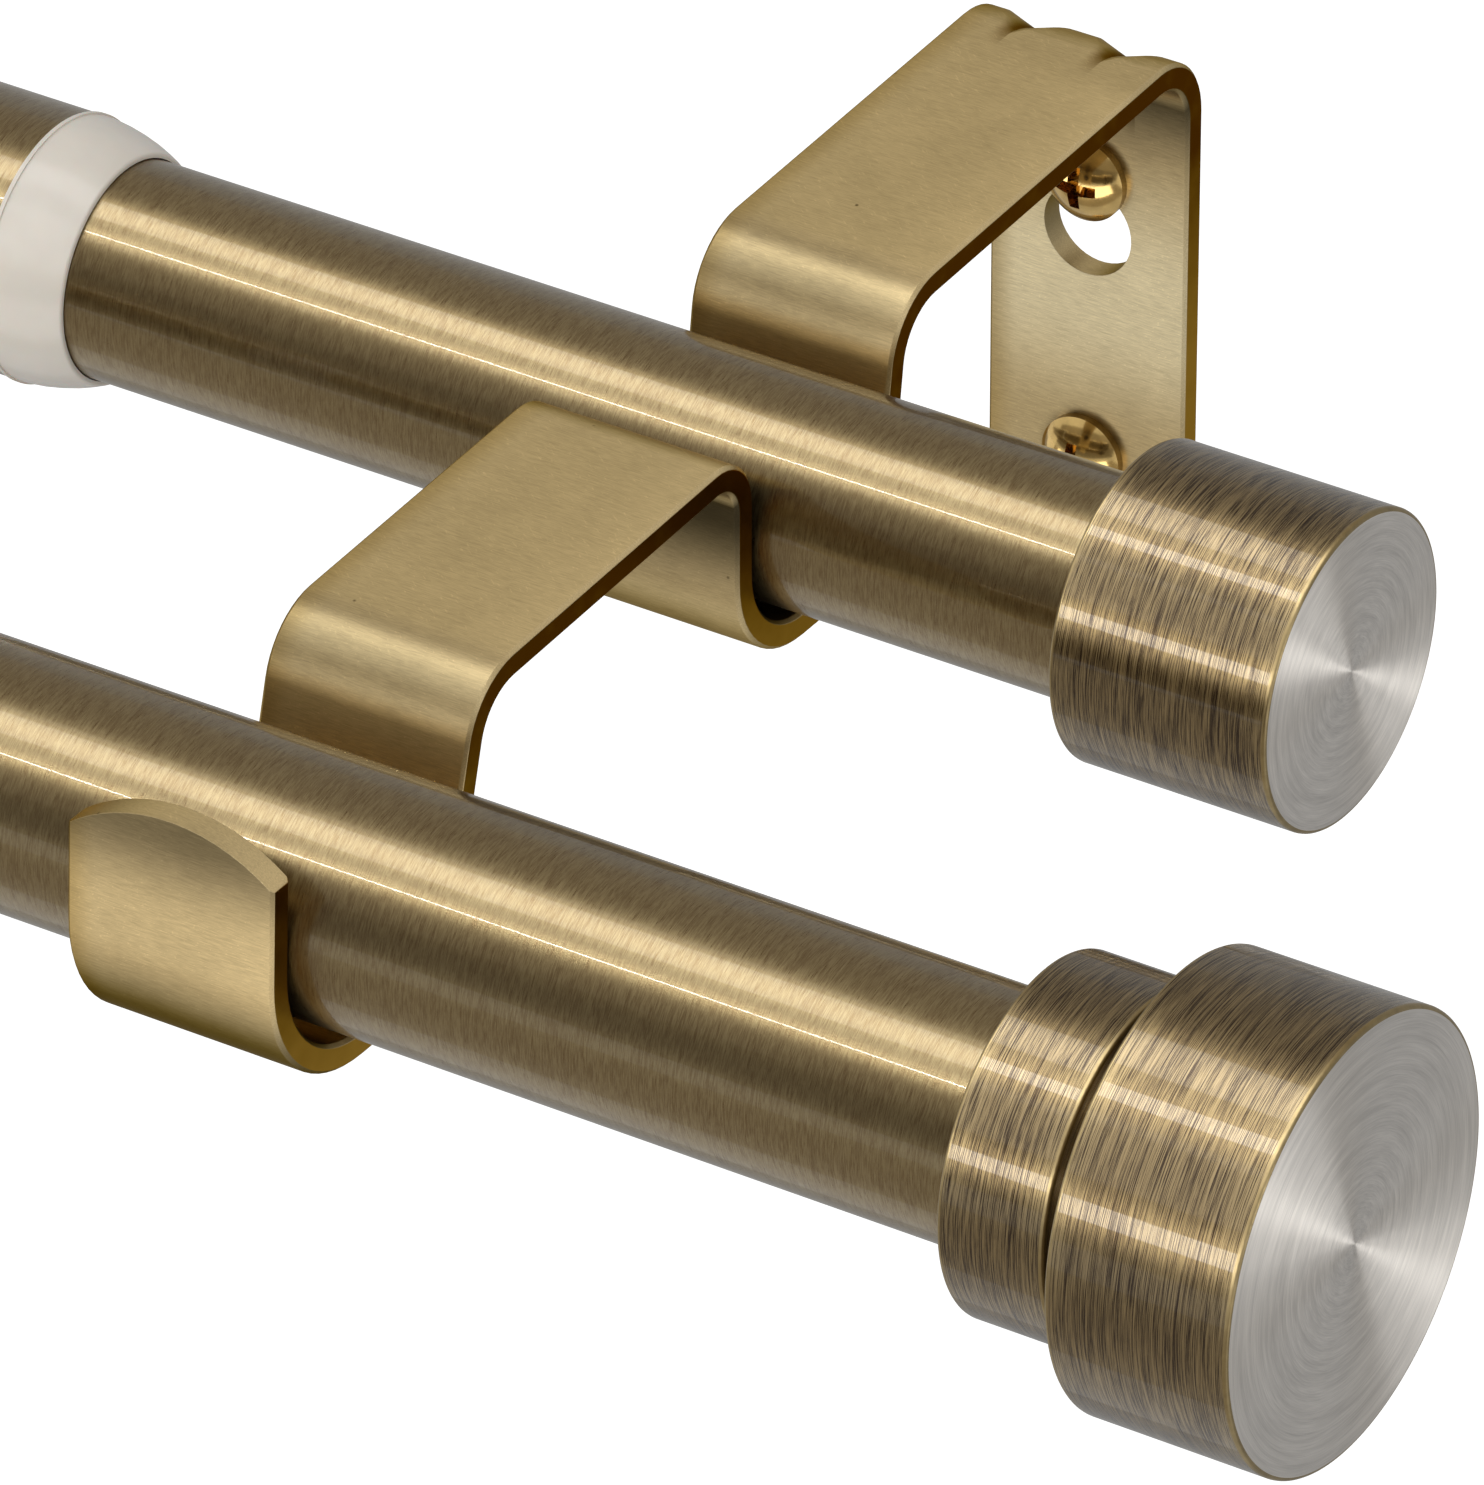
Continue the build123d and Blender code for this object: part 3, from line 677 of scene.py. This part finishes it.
class POLE_OT_collars(bpy.types.Operator):
    """The moulded collars in the mouths of the outer tubes, and the guide plugs"""

    bl_idname = "pole.collars"
    bl_label = "Collars"

    def execute(self, context):
        sizes = context.scene.pole_sizes
        nylon = moulded_nylon("Moulded ivory nylon", context.scene.pole_colours.ivory)
        for name in RODS:
            _, slide, _, _ = rod(f"{name}_inner_tube")
            _, outer, _, mouth = rod(f"{name}_outer_tube")
            centre, rim, start, tip = rod(f"{name}_collar")
            sleeve = outer - TUBE_WALL - COLLAR_SLEEVE_GAP
            bore = slide + COLLAR_BORE_GAP
            lip = slide + COLLAR_LIP
            swell = (mouth + COLLAR_SWELL, outer - COLLAR_SWELL_DROP)
            outline = [(start, bore), (start, sleeve), (mouth, sleeve), (mouth, rim),
                       (mouth + COLLAR_RIM, rim), (mouth + COLLAR_RIM, outer), swell, (tip, lip), (tip, bore)]
            rounds = [(*swell, COLLAR_SWELL_ROUND), (tip, lip, COLLAR_LIP_ROUND)]
            bm = turn(centre, outline, sizes.turning_steps, rounds)
            finish_mesh(f"{name}_moulded_collar", bm, [nylon], "wall_fixed",
                        f"{name}_collar")
            dress(f"{name}_guide_plug", nylon)
        return {"FINISHED"}


def end_piece(name, node, tube_node, side, body, socket, steps, rounds, sizes, materials):
    """A turned end piece, bored for its tube and tapped for its grub screw. Its steps are corners (length,
    radius) outwards from its open end, and rounds gives a size for some of them."""
    centre, tube_radius, _, _ = rod(tube_node)
    low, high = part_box(node)
    open_end = low.x if side > 0 else high.x
    bore = tube_radius + SEAT_GAP
    corners = [(open_end + side * x, radius) for x, radius in steps]
    face_x, shell = corners[-1][0], corners[0][1]
    outline = [(open_end + side * socket, 0.0), (open_end + side * socket, bore), (open_end, bore)]
    outline += [*corners, (face_x, 0.0)]
    bm = turn(centre, outline, sizes.turning_steps, [(*corners[k], size) for k, size in rounds],
              closed=False, rim_index=1)
    for face in bm.faces:
        if abs(face.calc_center_median().x - face_x) < 1e-6:
            face.material_index = 2
    tap = Vector((open_end + side * socket / 2, centre.y, centre.z - (bore + shell) / 2))
    bm = drilled(bm, tap, sizes.tap_radius, shell - bore + TAP_MARGIN)
    finish_mesh(name, bm, materials, body, node)


class POLE_OT_end_pieces(bpy.types.Operator):
    """The stepped finials of the front rod and the plain caps of the rear rod"""

    bl_idname = "pole.end_pieces"
    bl_label = "Finials and caps"

    def execute(self, context):
        sizes, colours = context.scene.pole_sizes, context.scene.pole_colours
        for side_name, side in SIDES:
            for name, part in (("front", "finial"), ("rear", "cap")):
                node = f"{name}_{side_name}_{part}"
                centre, reach, start, end = rod(node)
                length = end - start
                tube_node = f"{name}_{'inner' if side > 0 else 'outer'}_tube"
                body = f"{name}_extension" if side > 0 else "wall_fixed"
                rims = [start, end]
                if part == "finial":
                    neck, waist = reach - HEAD_STEP, reach - HEAD_STEP - GROOVE_DEPTH
                    head_start = NECK_LENGTH + GROOVE_WIDTH
                    socket = FINIAL_SOCKET
                    steps = [(0.0, neck), (NECK_LENGTH, neck), (NECK_LENGTH, waist), (head_start, waist),
                             (head_start, reach), (length, reach)]
                    rounds = [(0, sizes.rim_round), (1, sizes.neck_round), (4, sizes.rim_round),
                              (5, sizes.rim_round)]
                    open_end = start if side > 0 else end
                    rims += [open_end + side * NECK_LENGTH, open_end + side * head_start]
                else:
                    socket = CAP_SOCKET
                    steps = [(0.0, reach), (length, reach)]
                    rounds = [(0, sizes.rim_round), (1, sizes.rim_round)]
                streaks = brushed_brass(f"Turned antique brass {name} {side_name}", centre, colours.turned,
                                        colours.turned_dark, sizes.line_width, sizes.line_length,
                                        contrast=0.07, depth=0.045 * MM, worn=colours.worn, rims=rims)
                worn = plain_metal(f"Rubbed brass rim {name} {side_name}", colours.worn, roughness=0.3)
                face = faced_metal(f"Faced silver brass {name} {side_name}", centre, colours.face,
                                   sizes.streak_width, sizes.line_length)
                end_piece(f"{name}_{side_name}_turned_{part}", node, tube_node, side, body, socket, steps,
                          rounds, sizes, [streaks, worn, face])
        return {"FINISHED"}


class POLE_OT_brackets(bpy.types.Operator):
    """The bent-strip brackets in satin plating, darker on their cut sides"""

    bl_idname = "pole.brackets"
    bl_label = "Brackets"

    def execute(self, context):
        sizes, colours = context.scene.pole_sizes, context.scene.pole_colours
        for side_name, _ in SIDES:
            node = f"{side_name}_bracket"
            low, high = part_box(node)
            middle = (low.x + high.x) / 2
            corners = [v.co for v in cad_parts[node].data.vertices]
            tab_top = max(co.z for co in corners if co.y < low.y + TAB_DEPTH)
            plating = satin_plating(f"Satin brass plating {side_name}", colours, middle, (high.y, high.z),
                                    low.y, tab_top)
            cut = cut_edge(f"Antiqued cut edge {side_name}", colours.cut_shaded, colours.cut_lit)
            bm = softened(node, sizes.strip_round)
            for face in bm.faces:
                if abs(face.normal.x) > 0.9 and abs(face.calc_center_median().x - middle) > SIDE_OFFSET:
                    face.material_index = 1
            finish_mesh(f"{side_name}_bent_bracket", bm, [plating, cut], "wall_fixed",
                        node)
        return {"FINISHED"}


class POLE_OT_screws(bpy.types.Operator):
    """Wall screws, clamp screws and grub screws"""

    bl_idname = "pole.screws"
    bl_label = "Screws"

    def execute(self, context):
        colours = context.scene.pole_colours
        brass = plain_metal("Polished brass screws", colours.screw, roughness=0.14)
        steel = plain_metal("Blackened steel screws", colours.steel, roughness=0.35)
        for side_name, _ in SIDES:
            dress(f"{side_name}_wall_screws", brass)
            dress(f"{side_name}_clamp_screws", steel)
            for rod_name in RODS:
                dress(f"{rod_name}_{side_name}_grub_screw", steel)
        return {"FINISHED"}


def facing(angle, distance):
    """A point at that angle above the front, around the rods, in degrees."""
    turn_by = math.radians(angle)
    return STUDIO_AXIS + distance * Vector((0.0, -math.cos(turn_by), math.sin(turn_by)))


def lamp(name, angle, width, brightness, lit, length=LAMP_LENGTH, distance=LAMP_DISTANCE,
         aside=(0.0, 0.0, 0.0)):
    """A soft box facing the rods, for the pieces in lit: width is across them, a brightness of 1 is white."""
    data = bpy.data.lights.new(name, "AREA")
    data.shape = "RECTANGLE"
    data.size = length
    data.size_y = width
    data.energy = brightness * math.pi * width * length
    box = bpy.data.objects.new(name, data)
    bpy.context.scene.collection.objects.link(box)
    place = facing(angle, distance) + Vector(aside)
    back = (place - STUDIO_AXIS - Vector(aside) * ASIDE_AIM).normalized()
    along = (Vector(AROUND) - back * back.x).normalized()
    across = back.cross(along)
    box.matrix_world = Matrix.Translation(place) @ Matrix((along, across, back)).transposed().to_4x4()
    box.visible_camera = False
    group = bpy.data.collections.new(name)
    for piece in lit:
        group.objects.link(piece)
    box.light_linking.receiver_collection = group


def card(name, start, end, level, tint=(1.0, 1.0, 1.0), reach=3.5):
    """A curved grey card around the rods, between two angles, that only shiny surfaces see."""
    bm = bmesh.new()
    ends = [bm.verts.new(facing(start, CARD_DISTANCE) + Vector((x, 0.0, 0.0))) for x in (-reach, reach)]
    edge = bm.edges.new(ends)
    bmesh.ops.spin(bm, geom=ends + [edge], cent=STUDIO_AXIS, axis=AROUND,
                   angle=-math.radians(end - start), steps=24)
    mesh = bpy.data.meshes.new(name)
    bm.to_mesh(mesh)
    bm.free()
    made, tree = material(name)
    glow = add(tree, "ShaderNodeEmission", {"Color": rgba(tint), "Strength": level})
    add(tree, "ShaderNodeOutputMaterial", {"Surface": glow.outputs[0]})
    mesh.materials.append(made)
    piece = bpy.data.objects.new(name, mesh)
    bpy.context.scene.collection.objects.link(piece)
    for ray in ("camera", "diffuse", "shadow", "transmission", "volume_scatter"):
        setattr(piece, f"visible_{ray}", False)


def white_world(scene):
    """A world that is white to the camera and in reflections, and a dimmer fill elsewhere."""
    world = bpy.data.worlds.new("White studio")
    scene.world = world
    world.use_nodes = True
    tree = world.node_tree
    tree.nodes.clear()
    path = add(tree, "ShaderNodeLightPath")
    seen = path.outputs["Is Camera Ray"]
    for ray in ("Is Glossy Ray", "Is Transmission Ray"):
        seen = add(tree, "ShaderNodeMath", {0: seen, 1: path.outputs[ray]}, operation="MAXIMUM").outputs[0]
    level = add(tree, "ShaderNodeMapRange", {"Value": seen, "To Min": 0.45, "To Max": 1.0}).outputs[0]
    back = add(tree, "ShaderNodeBackground", {"Color": WHITE, "Strength": level})
    add(tree, "ShaderNodeOutputWorld", {"Surface": back.outputs[0]})


def studio_floor(scene):
    """A pale matt floor well below the pole, which glows to white where it is seen."""
    bm = bmesh.new()
    bmesh.ops.create_grid(bm, x_segments=1, y_segments=1, size=12.0)
    bmesh.ops.translate(bm, verts=bm.verts, vec=(0.0, 0.0, -2.0))
    mesh = bpy.data.meshes.new("Floor")
    bm.to_mesh(mesh)
    bm.free()
    floor = bpy.data.objects.new("Floor", mesh)
    scene.collection.objects.link(floor)
    made, tree = material("White studio floor")
    path = add(tree, "ShaderNodeLightPath")
    seen = add(tree, "ShaderNodeMath", {0: path.outputs["Is Camera Ray"], 1: path.outputs["Is Glossy Ray"]},
               operation="MAXIMUM").outputs[0]
    matt = add(tree, "ShaderNodeBsdfDiffuse", {"Color": (0.8, 0.8, 0.8, 1.0)})
    glow = add(tree, "ShaderNodeEmission", {"Color": WHITE, "Strength": 0.8})
    both = add(tree, "ShaderNodeAddShader", {0: matt.outputs[0], 1: glow.outputs[0]})
    mixed = add(tree, "ShaderNodeMixShader", {0: seen, 1: matt.outputs[0], 2: both.outputs[0]})
    add(tree, "ShaderNodeOutputMaterial", {"Surface": mixed.outputs[0]})
    mesh.materials.append(made)


def hang_lamps(scene):
    """Lamps for each kind of piece. The photo's highlights lie at other angles on the two rods, the end
    pieces and the brackets, so each has lamps of its own."""
    solid = [o for o in scene.objects if o.type == "MESH"]
    strips = [o for o in solid if o.name.endswith(("_bent_bracket", "_clamp_screws"))]
    domes = [o for o in solid if o.name.endswith("_wall_screws")]
    collars = [o for o in solid if o.name.endswith("_moulded_collar")]
    for rod_name, shift in (("front", -ROD_SHIFT), ("rear", ROD_SHIFT)):
        near = [o for o in solid if o.name.startswith(rod_name)]
        turned = [o for o in near if "_turned_" in o.name]
        drawn = [o for o in near if o not in turned + collars]
        lamp(f"Soft box over the {rod_name} rod", 83.0 + shift, 0.55, 3.0, drawn)
        lamp(f"Line lamp over the {rod_name} rod", 56.6 + shift, 0.02, 50.0, drawn)
        lamp(f"Low strip at the {rod_name} ends", 12.3 + shift / 3, 0.24, 8.0, turned)
        lamp(f"High strip at the {rod_name} ends", 69.5 + shift, 0.2, 8.0, turned)
        lamp(f"Soft box over the {rod_name} ends", 93.0 + shift, 0.55, 3.3, turned)
        lamp(f"Fill at the {rod_name} ends", 40.0, 0.84, 0.9, turned)
        lamp(f"Face lamp at the {rod_name} ends", 217.0, 0.25, 30.0, turned, length=0.25, distance=1.1,
             aside=(3.2, 0.0, 0.0))
    lamp("Soft box before the collars", 35.0, 1.4, 1.15, collars)
    lamp("Soft box over the collars", 88.0, 0.6, 1.5, collars)
    lamp("Low fill at the collars", -35.0, 1.0, 1.0, collars)
    lamp("Low lamp at the wall screws", -30.0, 0.8, 3.0, domes)
    lamp("High lamp at the wall screws", 83.0, 0.4, 2.0, domes)
    lamp("Soft box over the brackets", 87.0, 0.32, 1.9, strips)
    lamp("Back fill at the brackets", 140.0, 1.0, 0.45, strips)
    lamp("Front lamp at the brackets", 12.0, 1.0, 0.7, strips)
    lamp("Low front lamp at the brackets", -37.0, 0.6, 0.3, strips)
    lamp("Front fill at the brackets", -13.0, 2.4, 0.2, strips)
    lamp("Floor bounce at the brackets", -64.0, 0.6, 0.25, strips)
    lamp("Wall bounce at the brackets", 172.0, 0.9, 0.2, strips)


def stand_cards():
    """Cards that give the metal its darker stretches between the lamps."""
    card("Floor card", -98.0, -66.0, 0.75)
    card("Low front card", -66.0, -20.0, 0.48, WARM)
    card("Front card", -20.0, -6.0, 0.75)
    card("Front gap card", -6.0, 24.0, 0.24, WARM)
    card("High front card", 24.0, 51.0, 0.42, WARM)
    card("Back card", 96.0, 150.0, 0.45, WARM)
    card("Low back card", 150.0, 215.0, 0.42, reach=7.0)
    card("Under card", 215.0, 262.0, 0.4, reach=7.0)


def place_camera(scene):
    """The photo's camera."""
    camera = bpy.data.cameras.new("Camera")
    camera.sensor_fit = "HORIZONTAL"
    camera.sensor_width = SENSOR_WIDTH
    camera.lens = FOCAL_PIXELS / PHOTO_WIDTH * SENSOR_WIDTH
    camera.clip_start = 0.05
    camera.clip_end = 50.0
    view = bpy.data.objects.new("Camera", camera)
    scene.collection.objects.link(view)
    view.matrix_world = Matrix.Translation(CAMERA_PLACE) @ Matrix(
        (CAMERA_RIGHT, CAMERA_UP, CAMERA_BACK)).transposed().to_4x4()
    scene.camera = view


class POLE_OT_studio(bpy.types.Operator):
    """The pale floor, the soft boxes and cards, and the camera"""

    bl_idname = "pole.studio"
    bl_label = "Studio"

    def execute(self, context):
        scene = context.scene
        scene.view_settings.view_transform = "Standard"
        white_world(scene)
        studio_floor(scene)
        hang_lamps(scene)
        stand_cards()
        place_camera(scene)
        return {"FINISHED"}


class POLE_PT_panel(bpy.types.Panel):
    """Lists the pole's pieces"""

    bl_label = "Double curtain pole"
    bl_idname = "POLE_PT_panel"
    bl_space_type = "VIEW_3D"
    bl_region_type = "UI"
    bl_category = "Curtain pole"

    def draw(self, context):
        for operator in PIECES:
            self.layout.operator(operator.bl_idname)
        for group in (context.scene.pole_sizes, context.scene.pole_colours):
            for name in group.__annotations__:
                self.layout.prop(group, name)


PIECES = (POLE_OT_tubes, POLE_OT_collars, POLE_OT_end_pieces, POLE_OT_brackets, POLE_OT_screws,
          POLE_OT_studio)
CLASSES = (PoleSizes, PoleColours, *PIECES, POLE_PT_panel)


def register():
    for cls in CLASSES:
        bpy.utils.register_class(cls)
    bpy.types.Scene.pole_sizes = PointerProperty(type=PoleSizes)
    bpy.types.Scene.pole_colours = PointerProperty(type=PoleColours)


def unregister():
    del bpy.types.Scene.pole_colours
    del bpy.types.Scene.pole_sizes
    for cls in reversed(CLASSES):
        bpy.utils.unregister_class(cls)


def main():
    """Builds every piece in order."""
    register()
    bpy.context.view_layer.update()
    bpy.ops.pole.tubes()
    bpy.ops.pole.collars()
    bpy.ops.pole.end_pieces()
    bpy.ops.pole.brackets()
    bpy.ops.pole.screws()
    bpy.ops.pole.studio()


if __name__ == "__main__":
    main()
